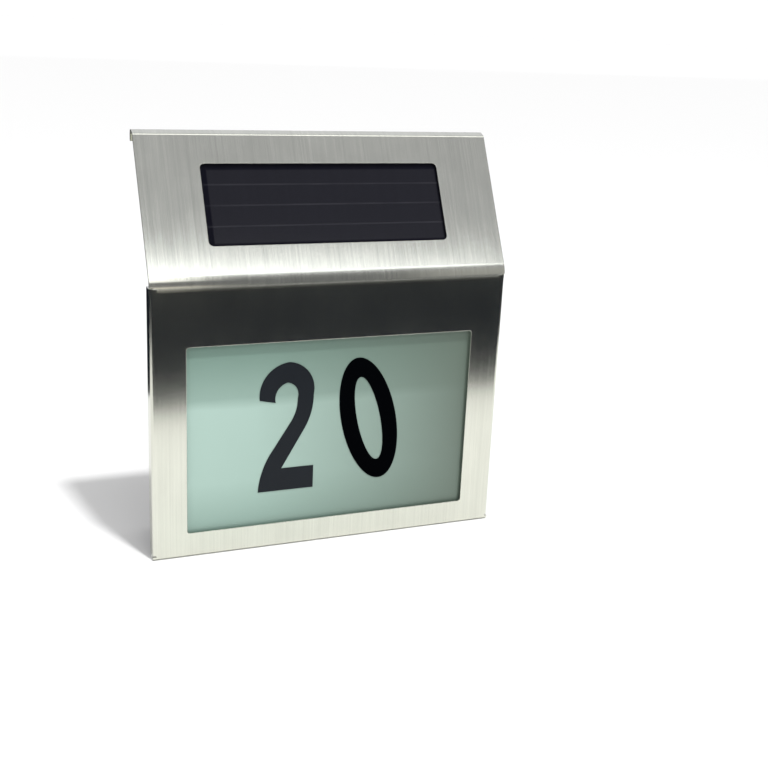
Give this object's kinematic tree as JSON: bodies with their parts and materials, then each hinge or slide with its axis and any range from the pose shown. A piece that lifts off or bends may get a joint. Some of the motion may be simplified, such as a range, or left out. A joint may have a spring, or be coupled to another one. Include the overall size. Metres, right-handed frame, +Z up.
{
  "type": "illuminated house number sign",
  "caption": "Solar house number sign: a folded brushed steel front with a frosted number window and a leaning solar panel above it, over a moulded housing with a battery bay and keyholes.",
  "frame": {"origin": "middle of the footprint, on the surface that the sign stands on", "axes": "+Z up, +Y towards the wall behind the sign, +X to the viewer's right"},
  "size_m": [0.18, 0.04, 0.201],
  "materials": {
    "brushed_steel": "satin, brushed up and down",
    "nut_steel": "zinc plated",
    "screw_steel": "zinc plated",
    "pane": "frosted, pale green",
    "film_two": "satin black film",
    "film_zero": "satin black film",
    "foam_seal": "closed-cell foam",
    "reflector_white": "white",
    "board_white": "white solder mask",
    "led_lens": "clear, slightly yellow",
    "solar_clear": "clear, polished",
    "silicon": "dark blue silicon",
    "board_green": "green solder mask",
    "solar_board": "green solder mask",
    "housing_plastic": "fine texture",
    "cover_plastic": "fine texture",
    "door_plastic": "fine texture",
    "gasket": "soft",
    "chip_black": "moulded",
    "ferrite": "dull ferrite",
    "capacitor_sleeve": "shrink sleeve",
    "switch_metal": "moulded",
    "slider_plastic": "moulded, light grey",
    "cell_sleeve": "green shrink sleeve",
    "contact_nickel": "nickel plated",
    "spring_nickel": "nickel plated",
    "lead_solar": "PVC insulation",
    "lead_led": "PVC insulation",
    "lead_battery": "PVC insulation"
  },
  "bodies": {
    "sign": {"front_plate": "brushed_steel", "plate_nuts": "nut_steel", "window_seal": "foam_seal", "window_pane": "pane", "numeral_two": "film_two", "numeral_zero": "film_zero", "reflector": "reflector_white", "led_board": "board_white", "leds": "led_lens", "solar_seal": "foam_seal", "solar_cover": "solar_clear", "solar_cells": "silicon", "solar_board": "solar_board", "housing": "housing_plastic", "rear_cover": "cover_plastic", "cover_seal": "gasket", "cover_screws": "screw_steel", "circuit_board": "board_green", "board_screws": "screw_steel", "controller_chip": "chip_black", "charge_inductor": "ferrite", "capacitor": "capacitor_sleeve", "switch_body": "switch_metal", "battery_contacts": "contact_nickel", "battery_spring": "spring_nickel", "solar_leads": "lead_solar", "led_leads": "lead_led", "battery_leads": "lead_battery"},
    "slider": {"switch_slider": "slider_plastic"},
    "door": {"battery_door": "door_plastic", "door_seal": "gasket", "door_screws": "screw_steel"},
    "cell": {"battery_cell": "cell_sleeve"}
  },
  "joints": [
    {"name": "switch_slide", "type": "slide", "parent": "sign", "child": "slider", "axis": [1, 0, 0], "range_m": [0, 0.003]},
    {"name": "door_lift", "type": "slide", "parent": "sign", "child": "door", "axis": [0, 1, 0], "range_m": [0, 0.06]},
    {"name": "cell_lift", "type": "slide", "parent": "sign", "child": "cell", "axis": [0, 1, 0], "range_m": [0, 0.03]}
  ],
  "couplings": [
    {"joint": "cell_lift", "follows": "door_lift", "ratio": 0.5}
  ]
}
